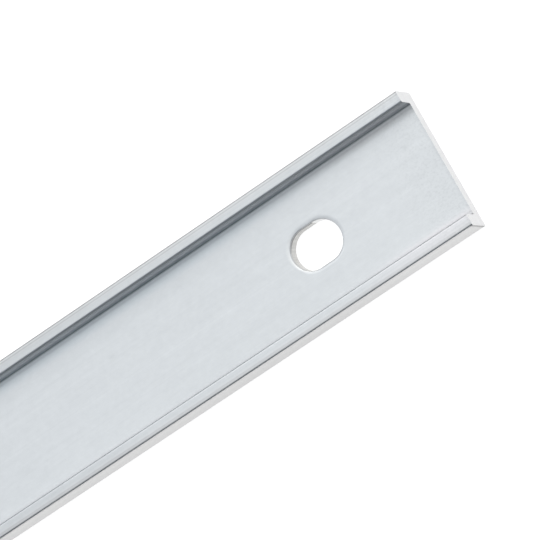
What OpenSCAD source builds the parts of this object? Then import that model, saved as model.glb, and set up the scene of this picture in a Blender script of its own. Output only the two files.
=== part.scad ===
// Termination bar: an extruded aluminium channel with punched slots, lying on its flat back.
// The bar runs along X, its width along Y, and both flanges point up along Z.
// The origin is in the middle of the back face, and the slot row is measured from the +X end.

/* [Bar] */
// Length of the bar, a usual 10 ft stock length
bar_length = 3048; // [600:1:3660]
// Overall width across the flanges
bar_width = 25.4; // [20:0.1:50]
// Overall height from the back to the flange tops
bar_height = 5.95; // [5:0.05:12]
// Thickness of the flat web
web_thickness = 2.4; // [1.2:0.05:3]
// Thickness of each flange
flange_thickness = 2.1; // [1.5:0.05:4]

/* [Edges] */
// Rounding of the flange tops
flange_edge_radius = 0.3; // [0.1:0.05:0.7]
// Fillet between the web and each flange
inner_fillet_radius = 0.4; // [0.1:0.05:0.9]
// Rounding of the long edges of the back
back_edge_radius = 0.2; // [0.05:0.05:0.8]

/* [Slots] */
// Width of a slot, across the bar
slot_width = 7.14; // [4:0.01:9]
// Length of a slot, along the bar
slot_length = 9.53; // [9.2:0.01:25]
// Distance from the +X end to the first slot's centre
slot_end_distance = 25.8; // [15:0.1:100]
// Distance between the centres of neighbouring slots
slot_pitch = 203.2; // [50:0.1:610]
// Distance from the bar's middle to the slot row, towards -Y, as it was punched
slot_side_offset = 0.3; // [-0.5:0.05:0.5]
// Rounding that the punch leaves round a slot's upper rim
slot_rim_radius = 0.3; // [0.05:0.05:0.5]

/* [Hidden] */

$fn = 64;
// How far a cutting shape reaches past the faces that it cuts
cut_margin = 1;
slot_count = 1 + floor((bar_length - 2 * slot_end_distance) / slot_pitch);
slot_end_offset = (slot_length - slot_width) / 2;
trough_width = bar_width - 2 * flange_thickness;

// A copy of the children on each side of the middle, in the plane of a profile
module both_sides() {
    children();
    mirror([1, 0]) children();
}

// The sliver between a square corner at the origin and the arc that rounds it
module corner_sliver(radius) {
    difference() {
        square(radius);
        translate([radius, radius]) circle(radius);
    }
}

// The channel's section, with the bar's width along X and its height along Y
module section() {
    difference() {
        translate([-bar_width / 2, 0]) square([bar_width, bar_height]);
        difference() {
            translate([-trough_width / 2, web_thickness]) square([trough_width, bar_height]);
            both_sides()
                translate([-trough_width / 2, web_thickness]) corner_sliver(inner_fillet_radius);
        }
        both_sides() {
            translate([-bar_width / 2, 0]) corner_sliver(back_edge_radius);
            translate([-bar_width / 2, bar_height]) mirror([0, 1]) corner_sliver(flange_edge_radius);
            translate([-trough_width / 2, bar_height]) rotate(180) corner_sliver(flange_edge_radius);
        }
    }
}

// Half of the punched hole's profile, from its middle out to the wall and the rounded upper rim
module slot_half_profile() {
    rim_reach = slot_width / 2 + slot_rim_radius;
    translate([0, -cut_margin]) square([slot_width / 2, web_thickness + 2 * cut_margin]);
    translate([0, web_thickness - slot_rim_radius]) difference() {
        square([rim_reach, slot_rim_radius + cut_margin]);
        translate([rim_reach, 0]) circle(slot_rim_radius);
    }
}

// A copy of the children at each end of a slot
module both_ends() {
    children();
    rotate(180) children();
}

// One slot through the web: a straight middle and two round ends
module slot() {
    translate([-slot_end_offset, 0, 0])
        rotate([90, 0, 90]) linear_extrude(2 * slot_end_offset) both_sides() slot_half_profile();
    both_ends()
        translate([slot_end_offset, 0, 0])
            rotate(-90) rotate_extrude(angle = 180) slot_half_profile();
}

module termination_bar() {
    color("lightsteelblue")
    difference() {
        translate([-bar_length / 2, 0, 0])
            rotate([90, 0, 90]) linear_extrude(bar_length) section();
        for (i = [0 : slot_count - 1])
            translate([bar_length / 2 - slot_end_distance - i * slot_pitch, -slot_side_offset, 0]) slot();
    }
}

termination_bar();
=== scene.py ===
import math
from types import SimpleNamespace

import bpy
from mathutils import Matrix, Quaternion, Vector


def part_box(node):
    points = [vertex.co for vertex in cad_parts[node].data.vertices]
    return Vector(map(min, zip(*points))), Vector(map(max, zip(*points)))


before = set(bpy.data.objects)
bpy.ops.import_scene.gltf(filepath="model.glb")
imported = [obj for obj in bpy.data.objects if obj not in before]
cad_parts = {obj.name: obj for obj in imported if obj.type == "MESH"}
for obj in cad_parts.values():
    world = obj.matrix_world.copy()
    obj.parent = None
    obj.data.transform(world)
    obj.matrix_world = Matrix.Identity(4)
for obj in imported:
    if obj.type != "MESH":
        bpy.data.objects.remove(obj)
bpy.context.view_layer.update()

# Real sizes of the bar, in metres
MM = 0.001
_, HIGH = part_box("termination_bar")
HALF_LENGTH = HIGH.x
HALF_WIDTH = HIGH.y
BAR_HEIGHT = HIGH.z
WEB_THICKNESS = 2.4 * MM
FLANGE_THICKNESS = 2.1 * MM
FLANGE_EDGE_RADIUS = 0.3 * MM
SLOT_LENGTH = 9.53 * MM
SLOT_WIDTH = 7.14 * MM
SLOT_END_DISTANCE = 25.8 * MM
SLOT_PITCH = 203.2 * MM
SLOT_SIDE_OFFSET = 0.3 * MM
SLOT_RIM_RADIUS = 0.3 * MM

# Camera, as the photograph was taken
AIM_FROM_END = 34.88 * MM
AIM_SIDEWAYS = 0.555 * MM
CAMERA_DISTANCE = 765.14 * MM
CAMERA_AZIMUTH = 56.223
CAMERA_ELEVATION = 66.591
CAMERA_ROLL = -87.838
CAMERA_LENS_MM = 312.9
SENSOR_MM = 36.0
CLIP_START = 0.05
CLIP_END = 500.0

# Noise layers of the skin: scale along X, Y and Z, detail, roughness, change of shade
SKIN_LAYERS = {
    "fine lines": ((6.0, 9000.0, 9000.0), 3.0, 0.6, 0.06),
    "broad lines": ((9.0, 800.0, 800.0), 3.0, 0.6, 0.09),
    "mottle": ((260.0, 420.0, 420.0), 4.0, 0.6, 0.10),
    "grain": ((900.0, 1200.0, 1200.0), 3.0, 0.6, 0.10),
    "haze": ((30.0, 70.0, 70.0), 2.0, 0.5, 0.06),
}
BASE_SHADE = 0.786

# Other noises: scale along X, Y and Z, detail, roughness
SPECKLE_NOISE = ((2200.0, 2600.0, 2600.0), 4.0, 0.7)
TOP_LINES_NOISE = ((4.0, 3000.0, 300.0), 2.0, 0.5)
SAW_LINES_NOISE = ((1.0, 500.0, 5000.0), 3.0, 0.6)
SCORE_LINES_NOISE = ((3000.0, 3000.0, 150.0), 3.0, 0.6)

# Speckle by the sawn ends: levels of its noise where it begins and is full, change of shade
SPECKLE_LEVELS = (0.44, 0.72)
SPECKLE_SHADE = -0.09

# Flange tops: level, lines along them and painted light towards the ends, as changes of shade
TOP_SHADE = -0.195
TOP_LINES_SHADE = 0.20
TOP_LIGHT_SHADE = 0.08

# Soft lines along the bar, the first three painted shade and highlights on the flange edges: centre and reach
# in mm, change of shade
OUTER_EDGE_SHADE_MM = (0.20, 0.30, -0.20)
INNER_EDGE_HIGHLIGHT_MM = (0.22, 0.25, 0.12)
OUTER_EDGE_HIGHLIGHT_MM = (0.39, 0.14, 0.14)
DIE_LINE_MM = (0.60, 0.25, -0.12)
LIGHT_LINE_MM = (-1.35, 0.35, 0.018)

# Painted light and shade lines of the inner corners: mm down from the flange's top and into the trough, reach
# in mm, change of shade
CORNER_LINES_MM = (
    (0.45, 0.65, -0.20),
    (1.50, 0.80, 0.11),
    (2.50, 1.20, 0.62),
    (3.12, 0.40, 0.38),
    (3.74, 0.38, -0.44),
    (4.28, 0.35, -0.12),
)
CORNER_BEGINS = -0.1 * MM
# Painted shade in the +Y inner corner by the ends: centre and reach in mm, change of shade
CORNER_SHADE_BY_ENDS_MM = (4.6, 1.0, -0.15)
# Painted cool tint of reflection in the +Y inner corner: centre and reach in mm
COOL_CORNER_MM = (4.2, 2.2)

# Reach of what lies by the sawn ends: mm from the end where it begins and where it is full
SPECKLE_REACH_MM = (14, 2)
# Painted light on the flange tops towards the ends
TOP_LIGHT_REACH_MM = (100, 30)
# Painted shade in the +Y inner corner by the ends
CORNER_SHADE_REACH_MM = (45, 5)
# Painted light on the -Y flange by the ends
END_LIGHT_REACH_MM = (24, 8)
END_EDGE_REACH_MM = (0.7, 0.1)
END_CORNER_REACH_MM = (0.60, 0.15)

# Changes of shade by the ends: painted light on the -Y side, the edge of the cut and the corners of the sides
END_LIGHT_SIDE_MM = (-8.6, -9.8)
END_LIGHT_SHADE = 0.06
END_EDGE_SHADE = -0.05
END_CORNER_SIDE_MM = (0.15, 0.05)
END_CORNER_SHADE = -0.50

# Handling marks on the upper side: mm from the +X end, mm towards +Y, length and width in mm, darkening
MARKS_MM = (
    (66.6, 3.3, 1.6, 0.7, 0.06),
    (89.5, -4.8, 2.6, 1.6, 0.03),
    (4.4, 4.9, 1.2, 0.8, 0.05),
    (20.6, -10.4, 2.2, 0.3, 0.12),
)
MARK_FADE = (2.0, 0.6)

# Tints of the skin: plain, painted cool reflection in the +Y inner corner, painted light on the -Y side by
# the ends, and on the outer sides
PLAIN_TINT = (0.698, 0.702, 0.706)
COOL_TINT = (0.670, 0.704, 0.724)
END_LIGHT_TINT = (0.720, 0.702, 0.706)
WARM_TINT = (0.710, 0.702, 0.695)
WARM_SIDE_MM = (1.4, 0.1)

# Sawn ends and punched slot walls: how far they reach in, colours between and along their lines
SAWN_DEPTH = 0.02 * MM
PUNCHED_DEPTH = 0.03 * MM
PUNCHED_BELOW_RIM = 0.8 * SLOT_RIM_RADIUS
SAWN_COLOURS = ((0.732, 0.727, 0.727), (0.924, 0.920, 0.920))
PUNCHED_COLOURS = ((0.58, 0.575, 0.56), (0.80, 0.79, 0.77))

# Painted highlight patch on a slot's +Y wall: mm along from the slot's centre, half length in mm
HIGHLIGHT_PATCH_PLACE_MM = 2.3
HIGHLIGHT_PATCH_HALF_LENGTH_MM = 1.15
HIGHLIGHT_PATCH_COLOUR = (0.97, 0.97, 0.96)

# Painted shade line below a slot's rim: mm below the web, reach in mm, width, strength at -Y and what +Y adds
RIM_LINE_MM = (0.38, 0.36)
RIM_LINE_WIDTH = 0.15 * MM
RIM_LINE_STRENGTH = 0.16
RIM_LINE_MORE = 0.71
RIM_LINE_SIDE_MM = (0.5, 3.0)
DARK_RIM_COLOUR = (0.12, 0.12, 0.13)

# Painted shade and highlight lines on a slot's -Y rim: mm across and along from its centre, mm from the wall,
# strength
NEAR_RIM_ACROSS_MM = (-2.6, -3.2)
NEAR_RIM_ALONG_MM = (-1.8, -0.6)
NEAR_DARK_MM = (0.24, 0.08)
NEAR_DARK_STRENGTH = 0.5
NEAR_LIGHT_MM = (0.42, 0.20)
NEAR_LIGHT_STRENGTH = 0.25
LIGHT_RIM_COLOUR = (0.96, 0.96, 0.96)

# Slot rim that turns down late: mm from the wall and mm below the web where its rounding lies level
LEVEL_RIM_MM = (0.06, 0.18)
LEVEL_RIM_BELOW_MM = (0.20, 0.12)
LEVEL_RIM_WIDTH = 1.2 * SLOT_RIM_RADIUS

# Draw-in of the web round a slot: width and depth, less on the -Y side, and mm across between the two
DRAW_IN_WIDTH = 0.9 * MM
DRAW_IN_NEAR_WIDTH = 0.5 * MM
DRAW_IN_DEPTH = 0.14 * MM
DRAW_IN_NEAR_SHARE = 0.7
DRAW_IN_SIDE_MM = (-2.5, 2.0)

# Worn flange tops
EASING_WIDTH = 0.6 * MM
EASING_DEPTH = 0.08 * MM

# Gloss of the metal: base roughness and changes of it
METALLIC = 0.87
BASE_ROUGHNESS = 0.31
BROAD_LINE_ROUGHNESS = 0.06
MOTTLE_ROUGHNESS = 0.06
CUT_ROUGHNESS = 0.12

# Fine relief: shares of the fine lines, the mottling and the saw lines, height and strength
FINE_LINE_RELIEF = 0.6
MOTTLE_RELIEF = 0.4
SAW_LINE_RELIEF = 2.0
RELIEF_HEIGHT = 0.01 * MM
RELIEF_STRENGTH = 0.25

# White table: half size, gap under the bar, colour for the light, colour and glow for the eye
TABLE_HALF = 200.0
TABLE_GAP = 0.05 * MM
TABLE_COLOUR = (0.9, 0.9, 0.9)
TABLE_SEEN_COLOUR = (0.3, 0.3, 0.3)
TABLE_GLOW = 0.91

# Studio surroundings, and the heights between which a light fades out towards the horizon
DIM_COLOUR = (0.050, 0.075, 0.105)
HORIZON_FADE = (0.20, 0.60)

# Broad light, lamp and side light: direction, cosines at its soft edge, colour, fading at the horizon
STUDIO_LIGHTS = (
    ((0.10, 0.76, 0.64), (-0.10, 0.76), (1.105, 1.16, 1.20), True),
    ((0.30, 0.68, 0.67), (0.90, 0.97), (2.4, 2.4, 2.4), True),
    ((-0.90, -0.05, 0.40), (0.80, 0.95), (1.0, 1.0, 1.0), False),
)

# Slope of the light along the bar: X of the direction where it begins and is full, factor at -X and at +X
SLOPE_FADE = (-0.75, 0.15)
SLOPE_COLOURS = ((0.83, 0.85, 0.88), (1.17, 1.15, 1.12))


class Graph:
    """Empties the node tree of a material or world, then adds nodes and wires values or sockets into them."""

    def __init__(self, owner):
        owner.use_nodes = True
        self.nodes = owner.node_tree.nodes
        self.link = owner.node_tree.links.new
        self.nodes.clear()

    def feed(self, socket, value):
        if isinstance(value, bpy.types.NodeSocket):
            self.link(value, socket)
        elif isinstance(value, (tuple, list)) and len(value) < len(socket.default_value):
            socket.default_value = (*value, 1.0)
        else:
            socket.default_value = value

    def node(self, kind, settings=None, **inputs):
        made = self.nodes.new(kind)
        for name, value in (settings or {}).items():
            setattr(made, name, value)
        for name, value in inputs.items():
            self.feed(made.inputs[name.replace("_", " ")], value)
        return made

    def math(self, operation, *values):
        made = self.node("ShaderNodeMath", {"operation": operation})
        for socket, value in zip(made.inputs, values):
            self.feed(socket, value)
        return made.outputs[0]

    def multiply(self, first, second):
        return self.math("MULTIPLY", first, second)

    def add_share(self, value, share, total):
        """The total plus the value times its share."""
        return self.math("MULTIPLY_ADD", value, share, total)

    def vector_math(self, operation, *values):
        made = self.node("ShaderNodeVectorMath", {"operation": operation})
        for socket, value in zip(made.inputs, values):
            self.feed(socket, value)
        return made.outputs["Value"] if operation == "DOT_PRODUCT" else made.outputs["Vector"]

    def scaled(self, vector, factor):
        made = self.node("ShaderNodeVectorMath", {"operation": "SCALE"}, Scale=factor)
        self.feed(made.inputs[0], vector)
        return made.outputs["Vector"]

    def smooth(self, value, start, end):
        """0 at the start, 1 at the end, with a smooth ramp between."""
        made = self.node("ShaderNodeMapRange", {"interpolation_type": "SMOOTHSTEP"})
        for name, number in (("Value", value), ("From Min", start), ("From Max", end)):
            self.feed(made.inputs[name], number)
        return made.outputs["Result"]

    def smooth_mm(self, value, ends_mm):
        """The same ramp between two distances given in mm."""
        start, end = ends_mm
        return self.smooth(value, start * MM, end * MM)

    def band_mm(self, value, centre_mm, reach_mm):
        """1 at the centre, falling smoothly to 0 at the given distance to either side, both in mm."""
        away = self.math("ABSOLUTE", self.math("SUBTRACT", value, centre_mm * MM))
        return self.smooth(away, reach_mm * MM, 0.0)

    def noise(self, place, scale, detail, roughness):
        made = self.node("ShaderNodeTexNoise", {"noise_dimensions": "3D"}, Scale=1.0)
        self.feed(made.inputs["Vector"], self.vector_math("MULTIPLY", place, scale))
        self.feed(made.inputs["Detail"], detail)
        self.feed(made.inputs["Roughness"], roughness)
        return made.outputs["Fac"]

    def mix(self, factor, first, second):
        made = self.node("ShaderNodeMix", {"data_type": "RGBA"})
        self.feed(made.inputs[0], factor)
        self.feed(made.inputs[6], first)
        self.feed(made.inputs[7], second)
        return made.outputs[2]

    def surface(self, kind, shader):
        output = self.node(kind)
        self.link(shader, output.inputs["Surface"])


def slot_place(g, x, y):
    """Place relative to the nearest slot's centre, and distance outwards from its wall, in metres."""
    first_slot = HALF_LENGTH - SLOT_END_DISTANCE
    along = g.math("WRAP", g.math("SUBTRACT", x, first_slot), SLOT_PITCH / 2, -SLOT_PITCH / 2)
    across = g.math("ADD", y, SLOT_SIDE_OFFSET)
    past_straight = g.math("SUBTRACT", g.math("ABSOLUTE", along), (SLOT_LENGTH - SLOT_WIDTH) / 2)
    past_straight = g.math("MAXIMUM", past_straight, 0.0)
    squares = g.math("ADD", g.multiply(past_straight, past_straight), g.multiply(across, across))
    return along, across, g.math("SUBTRACT", g.math("SQRT", squares), SLOT_WIDTH / 2)


def bar_places(g):
    """Distances in metres and 0 or 1 masks by place on the bar, from which its material is built."""
    at = SimpleNamespace()
    at.place = g.node("ShaderNodeTexCoord").outputs["Object"]
    at.x, at.y, at.z = g.node("ShaderNodeSeparateXYZ", Vector=at.place).outputs
    at.from_middle = g.math("ABSOLUTE", at.x)
    from_centre = g.math("ABSOLUTE", at.y)
    at.outer_edge = g.math("SUBTRACT", HALF_WIDTH, from_centre)
    at.inner_edge = g.math("SUBTRACT", from_centre, HALF_WIDTH - FLANGE_THICKNESS)
    at.below_top = g.math("SUBTRACT", BAR_HEIGHT, at.z)
    at.below_web = g.math("SUBTRACT", WEB_THICKNESS, at.z)
    at.upper_side = g.math("GREATER_THAN", at.z, WEB_THICKNESS / 2)
    at.on_flange = g.math("GREATER_THAN", at.z, BAR_HEIGHT - EASING_WIDTH)
    at.plus_y = g.math("GREATER_THAN", at.y, 0.0)

    into_trough = g.multiply(at.inner_edge, -1.0)
    at.down_and_in = g.math("ADD", at.below_top, into_trough)
    at.inner_side = g.multiply(g.math("GREATER_THAN", into_trough, CORNER_BEGINS), at.upper_side)

    at.sawn = g.math("GREATER_THAN", at.from_middle, HALF_LENGTH - SAWN_DEPTH)
    at.along, at.across, at.from_slot = slot_place(g, at.x, at.y)
    inside_slot = g.math("LESS_THAN", at.from_slot, PUNCHED_DEPTH)
    at.punched = g.multiply(inside_slot, g.math("LESS_THAN", at.z, WEB_THICKNESS - PUNCHED_BELOW_RIM))
    return at


def by_the_ends(g, at, reach_mm):
    """0 further in from either end than the reach begins, 1 where it is full."""
    begins, full = reach_mm
    return g.smooth(at.from_middle, HALF_LENGTH - begins * MM, HALF_LENGTH - full * MM)


def add_line(g, shade, value, line_mm, *masks):
    """The shade with one soft line along the bar added, where all the masks allow it."""
    centre_mm, reach_mm, change = line_mm
    line = g.band_mm(value, centre_mm, reach_mm)
    for mask in masks:
        line = g.multiply(line, mask)
    return g.add_share(line, change, shade)


def roll_off(g, distance, width):
    """Fall of a surface towards an edge: -1 at the edge, levelling out to 0 at the given distance from it."""
    left = g.math("SUBTRACT", 1.0, g.math("DIVIDE", distance, width))
    left = g.math("MAXIMUM", left, 0.0)
    return g.multiply(g.multiply(left, left), -1.0)


def handling_marks(g, at, breakup):
    """Sum of the darkenings of all handling marks on the upper side, each with a broken outline."""
    total = 0.0
    for from_end, sideways, length, width, darkening in MARKS_MM:
        along = g.math("DIVIDE", g.math("SUBTRACT", at.x, HALF_LENGTH - from_end * MM), length * MM / 2)
        across = g.math("DIVIDE", g.math("SUBTRACT", at.y, sideways * MM), width * MM / 2)
        reach = g.math("ADD", g.multiply(along, along), g.multiply(across, across))
        reach = g.math("ADD", g.math("SQRT", reach), breakup)
        total = g.add_share(g.smooth(reach, *MARK_FADE), darkening, total)
    return g.multiply(total, at.upper_side)


def skin_colour(g, at, layers):
    """Mill-finish skin with its lines, speckle and handling marks, and painted light and shade on the flange
    edges, in the inner corners and by the ends.
    """
    shade = BASE_SHADE
    for name, (*_, change) in SKIN_LAYERS.items():
        shade = g.add_share(layers[name], change, shade)
    speckle = g.smooth(g.noise(at.place, *SPECKLE_NOISE), *SPECKLE_LEVELS)
    speckle = g.multiply(by_the_ends(g, at, SPECKLE_REACH_MM), speckle)
    shade = g.add_share(speckle, SPECKLE_SHADE, shade)

    # Flange tops with painted light towards the ends, painted shade and highlights along their edges, and a
    # light line along the web
    top_lines = g.add_share(g.noise(at.place, *TOP_LINES_NOISE), TOP_LINES_SHADE, TOP_SHADE)
    top_lines = g.add_share(by_the_ends(g, at, TOP_LIGHT_REACH_MM), TOP_LIGHT_SHADE, top_lines)
    shade = g.add_share(at.on_flange, top_lines, shade)
    rounding = g.smooth(at.z, BAR_HEIGHT - FLANGE_EDGE_RADIUS, BAR_HEIGHT - FLANGE_EDGE_RADIUS / 2)
    shade = add_line(g, shade, at.outer_edge, OUTER_EDGE_SHADE_MM, rounding)
    shade = add_line(g, shade, at.inner_edge, INNER_EDGE_HIGHLIGHT_MM, at.on_flange)
    shade = add_line(g, shade, at.outer_edge, OUTER_EDGE_HIGHLIGHT_MM, at.plus_y, rounding)
    shade = add_line(g, shade, at.outer_edge, DIE_LINE_MM, at.on_flange)
    shade = add_line(g, shade, at.y, LIGHT_LINE_MM)

    # Painted light and shade lines in the inner corners, with more painted shade by the ends on the +Y side
    for line_mm in CORNER_LINES_MM:
        shade = add_line(g, shade, at.down_and_in, line_mm, at.inner_side)
    painted_corner_side = g.multiply(at.inner_side, at.plus_y)
    towards_end = by_the_ends(g, at, CORNER_SHADE_REACH_MM)
    shade = add_line(g, shade, at.down_and_in, CORNER_SHADE_BY_ENDS_MM, painted_corner_side, towards_end)

    # Painted light on the -Y flange and its inner corner, by the ends
    end_light = g.multiply(by_the_ends(g, at, END_LIGHT_REACH_MM), g.smooth_mm(at.y, END_LIGHT_SIDE_MM))
    shade = g.add_share(end_light, END_LIGHT_SHADE, shade)

    # Edges of the sawn ends, darkest down the corners of the sides
    shade = g.add_share(by_the_ends(g, at, END_EDGE_REACH_MM), END_EDGE_SHADE, shade)
    end_corner = by_the_ends(g, at, END_CORNER_REACH_MM)
    end_corner = g.multiply(end_corner, g.smooth_mm(at.outer_edge, END_CORNER_SIDE_MM))
    shade = g.add_share(end_corner, END_CORNER_SHADE, shade)
    shade = g.math("SUBTRACT", shade, handling_marks(g, at, layers["mottle"]))

    # Painted cool reflection in the +Y inner corner away from the ends, painted light on the -Y side by the
    # ends, and a warm tint on the outer sides
    cool_corner = g.multiply(g.band_mm(at.down_and_in, *COOL_CORNER_MM), painted_corner_side)
    cool_corner = g.multiply(cool_corner, g.math("SUBTRACT", 1.0, towards_end))
    tint = g.mix(cool_corner, PLAIN_TINT, COOL_TINT)
    tint = g.mix(end_light, tint, END_LIGHT_TINT)
    tint = g.mix(g.smooth_mm(at.outer_edge, WARM_SIDE_MM), tint, WARM_TINT)
    return g.scaled(tint, shade)


def cut_colour(g, at, skin, saw_lines):
    """The skin's colour with the sawn ends, punched slot walls with a painted highlight patch, and painted
    shade and highlight lines on the slot rims laid over it.
    """
    colour = g.mix(at.sawn, skin, g.mix(saw_lines, *SAWN_COLOURS))

    wall = g.mix(g.noise(at.place, *SCORE_LINES_NOISE), *PUNCHED_COLOURS)
    # Painted highlight patch on the +Y wall of each slot
    highlight_patch = g.math("COMPARE", at.along, HIGHLIGHT_PATCH_PLACE_MM * MM, HIGHLIGHT_PATCH_HALF_LENGTH_MM * MM)
    highlight_patch = g.multiply(highlight_patch, g.math("GREATER_THAN", at.across, 0.0))
    wall = g.mix(highlight_patch, wall, HIGHLIGHT_PATCH_COLOUR)
    colour = g.mix(at.punched, colour, wall)

    # Painted shade line below the rim, strongest on the +Y side and missing at the painted highlight patch
    in_wall = g.math("LESS_THAN", at.from_slot, RIM_LINE_WIDTH)
    rim_line = g.multiply(g.band_mm(at.below_web, *RIM_LINE_MM), in_wall)
    strength = g.add_share(g.smooth_mm(at.across, RIM_LINE_SIDE_MM), RIM_LINE_MORE, RIM_LINE_STRENGTH)
    strength = g.multiply(strength, g.math("SUBTRACT", 1.0, highlight_patch))

    # Painted shade line on the -Y rim, with a painted highlight line beyond it
    near_side = g.multiply(g.smooth_mm(at.across, NEAR_RIM_ACROSS_MM), at.upper_side)
    near_dark = g.multiply(g.smooth_mm(at.from_slot, NEAR_DARK_MM), near_side)
    near_dark = g.multiply(near_dark, g.smooth_mm(at.along, NEAR_RIM_ALONG_MM))
    near_dark = g.multiply(near_dark, NEAR_DARK_STRENGTH)
    dark_line = g.math("MAXIMUM", g.multiply(rim_line, strength), near_dark)
    colour = g.mix(dark_line, colour, DARK_RIM_COLOUR)
    near_light = g.multiply(g.band_mm(at.from_slot, *NEAR_LIGHT_MM), near_side)
    return g.mix(g.multiply(near_light, NEAR_LIGHT_STRENGTH), colour, LIGHT_RIM_COLOUR)


def surface_facing(g, at, layers, saw_lines):
    """Where the surface faces, with slot rims, fine relief, draw-in round the slots and worn flange tops."""
    # The punched rim turns down late, so the outer part of its rounding lies level with the web
    facing = g.node("ShaderNodeNewGeometry").outputs["Normal"]
    outer_rim = g.smooth_mm(at.from_slot, LEVEL_RIM_MM)
    outer_rim = g.multiply(outer_rim, g.smooth_mm(at.below_web, LEVEL_RIM_BELOW_MM))
    outer_rim = g.multiply(outer_rim, g.math("LESS_THAN", at.from_slot, LEVEL_RIM_WIDTH))
    to_level = g.vector_math("SUBTRACT", (0.0, 0.0, 1.0), facing)
    facing = g.vector_math("NORMALIZE", g.vector_math("MULTIPLY_ADD", to_level, outer_rim, facing))

    relief = g.add_share(layers["mottle"], MOTTLE_RELIEF, g.multiply(layers["fine lines"], FINE_LINE_RELIEF))
    relief = g.add_share(g.multiply(saw_lines, at.sawn), SAW_LINE_RELIEF, relief)

    # Soft draw-in of the web round each punched slot, narrower and shallower on the -Y side
    far_side = g.smooth_mm(at.across, DRAW_IN_SIDE_MM)
    width = g.add_share(far_side, DRAW_IN_WIDTH - DRAW_IN_NEAR_WIDTH, DRAW_IN_NEAR_WIDTH)
    drawn_in = g.multiply(roll_off(g, at.from_slot, width), at.upper_side)
    drawn_in = g.multiply(drawn_in, g.add_share(far_side, 1.0 - DRAW_IN_NEAR_SHARE, DRAW_IN_NEAR_SHARE))

    # Worn flange tops, which roll off to both sides a little beyond their rounding
    eased = g.math("ADD", roll_off(g, at.outer_edge, EASING_WIDTH), roll_off(g, at.inner_edge, EASING_WIDTH))
    eased = g.math("ADD", eased, roll_off(g, at.below_top, EASING_WIDTH))
    eased = g.multiply(eased, at.on_flange)

    for height, depth, strength in (
        (relief, RELIEF_HEIGHT, RELIEF_STRENGTH),
        (drawn_in, DRAW_IN_DEPTH, 1.0),
        (eased, EASING_DEPTH, 1.0),
    ):
        bump = g.node("ShaderNodeBump", Strength=strength, Distance=depth, Height=height, Normal=facing)
        facing = bump.outputs["Normal"]
    return facing


def make_aluminium():
    """Mill-finish aluminium with sawn ends and punched slots."""
    material = bpy.data.materials.new("mill_aluminium")
    g = Graph(material)
    at = bar_places(g)
    layers = {name: g.noise(at.place, *noise) for name, (*noise, _) in SKIN_LAYERS.items()}
    saw_lines = g.noise(at.place, *SAW_LINES_NOISE)
    colour = cut_colour(g, at, skin_colour(g, at, layers), saw_lines)
    facing = surface_facing(g, at, layers, saw_lines)

    roughness = g.add_share(layers["broad lines"], BROAD_LINE_ROUGHNESS, BASE_ROUGHNESS)
    roughness = g.add_share(layers["mottle"], MOTTLE_ROUGHNESS, roughness)
    roughness = g.add_share(g.math("MAXIMUM", at.sawn, at.punched), CUT_ROUGHNESS, roughness)

    shader = g.node("ShaderNodeBsdfPrincipled", Metallic=METALLIC, Base_Color=colour, Roughness=roughness)
    g.link(facing, shader.inputs["Normal"])
    g.surface("ShaderNodeOutputMaterial", shader.outputs["BSDF"])
    return material


def make_floor():
    """White table that keeps a faint shadow."""
    mesh = bpy.data.meshes.new("floor")
    corners = [(-TABLE_HALF, -TABLE_HALF, 0), (TABLE_HALF, -TABLE_HALF, 0)]
    corners += [(TABLE_HALF, TABLE_HALF, 0), (-TABLE_HALF, TABLE_HALF, 0)]
    mesh.from_pydata(corners, [], [(0, 1, 2, 3)])
    floor = bpy.data.objects.new("floor", mesh)
    floor.location.z = -TABLE_GAP
    bpy.context.collection.objects.link(floor)

    material = bpy.data.materials.new("white_table")
    g = Graph(material)
    path = g.node("ShaderNodeLightPath").outputs
    seen = g.math("MAXIMUM", path["Is Camera Ray"], path["Is Glossy Ray"])
    seen = g.math("MAXIMUM", seen, path["Is Transmission Ray"])
    plain = g.node("ShaderNodeBsdfDiffuse", Color=TABLE_COLOUR).outputs[0]
    dim = g.node("ShaderNodeBsdfDiffuse", Color=TABLE_SEEN_COLOUR).outputs[0]
    glow = g.node("ShaderNodeEmission", Strength=TABLE_GLOW).outputs[0]
    lifted = g.nodes.new("ShaderNodeAddShader")
    g.link(dim, lifted.inputs[0])
    g.link(glow, lifted.inputs[1])
    choice = g.nodes.new("ShaderNodeMixShader")
    g.link(seen, choice.inputs[0])
    g.link(plain, choice.inputs[1])
    g.link(lifted.outputs[0], choice.inputs[2])
    g.surface("ShaderNodeOutputMaterial", choice.outputs[0])
    mesh.materials.append(material)


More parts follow.
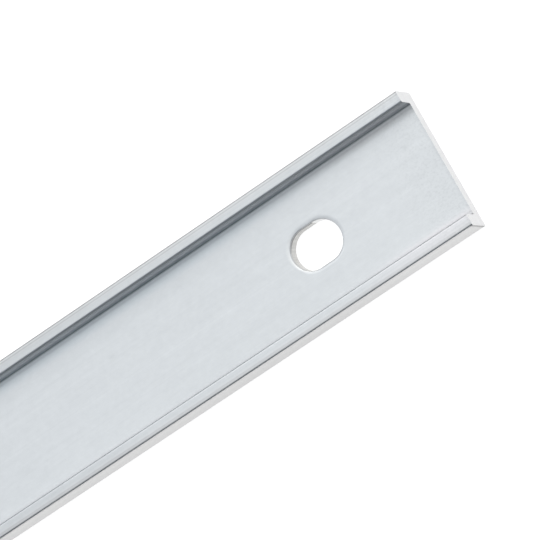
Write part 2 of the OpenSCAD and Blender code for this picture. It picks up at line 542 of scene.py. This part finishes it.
def make_world():
    """Soft light from above and +Y with a side light from -X, dimmer and cooler towards -X, dark from -Y."""
    world = bpy.data.worlds.new("studio")
    bpy.context.scene.world = world
    g = Graph(world)
    direction = g.node("ShaderNodeTexCoord").outputs["Generated"]
    lengthwise, _, height = g.node("ShaderNodeSeparateXYZ", Vector=direction).outputs
    above_horizon = g.smooth(height, *HORIZON_FADE)
    colour = DIM_COLOUR
    for place, soft_edge, light_colour, fades_at_horizon in STUDIO_LIGHTS:
        towards = g.vector_math("DOT_PRODUCT", direction, Vector(place).normalized())
        strength = g.smooth(towards, *soft_edge)
        if fades_at_horizon:
            strength = g.multiply(strength, above_horizon)
        colour = g.mix(strength, colour, light_colour)
    slope = g.mix(g.smooth(lengthwise, *SLOPE_FADE), *SLOPE_COLOURS)
    colour = g.vector_math("MULTIPLY", colour, slope)
    sky = g.node("ShaderNodeBackground", Color=colour, Strength=1.0)
    g.surface("ShaderNodeOutputWorld", sky.outputs[0])


def make_camera():
    """Camera in the photograph's place, looking at the bar near its +X end."""
    azimuth = math.radians(CAMERA_AZIMUTH)
    elevation = math.radians(CAMERA_ELEVATION)
    back = Vector((
        math.sin(azimuth) * math.cos(elevation),
        -math.cos(azimuth) * math.cos(elevation),
        math.sin(elevation),
    ))
    aim = Vector((HALF_LENGTH - AIM_FROM_END, AIM_SIDEWAYS, WEB_THICKNESS))
    data = bpy.data.cameras.new("camera")
    data.lens = CAMERA_LENS_MM
    data.sensor_width = SENSOR_MM
    data.clip_start = CLIP_START
    data.clip_end = CLIP_END
    camera = bpy.data.objects.new("camera", data)
    camera.rotation_mode = "QUATERNION"
    level = (-back).to_track_quat("-Z", "Y")
    camera.rotation_quaternion = level @ Quaternion((0, 0, 1), math.radians(CAMERA_ROLL))
    camera.location = aim + back * CAMERA_DISTANCE
    bpy.context.collection.objects.link(camera)
    bpy.context.scene.camera = camera


bpy.context.scene.view_settings.view_transform = "Standard"
make_camera()
make_world()
make_floor()

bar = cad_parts["termination_bar"]
bar.data.materials.clear()
bar.data.materials.append(make_aluminium())
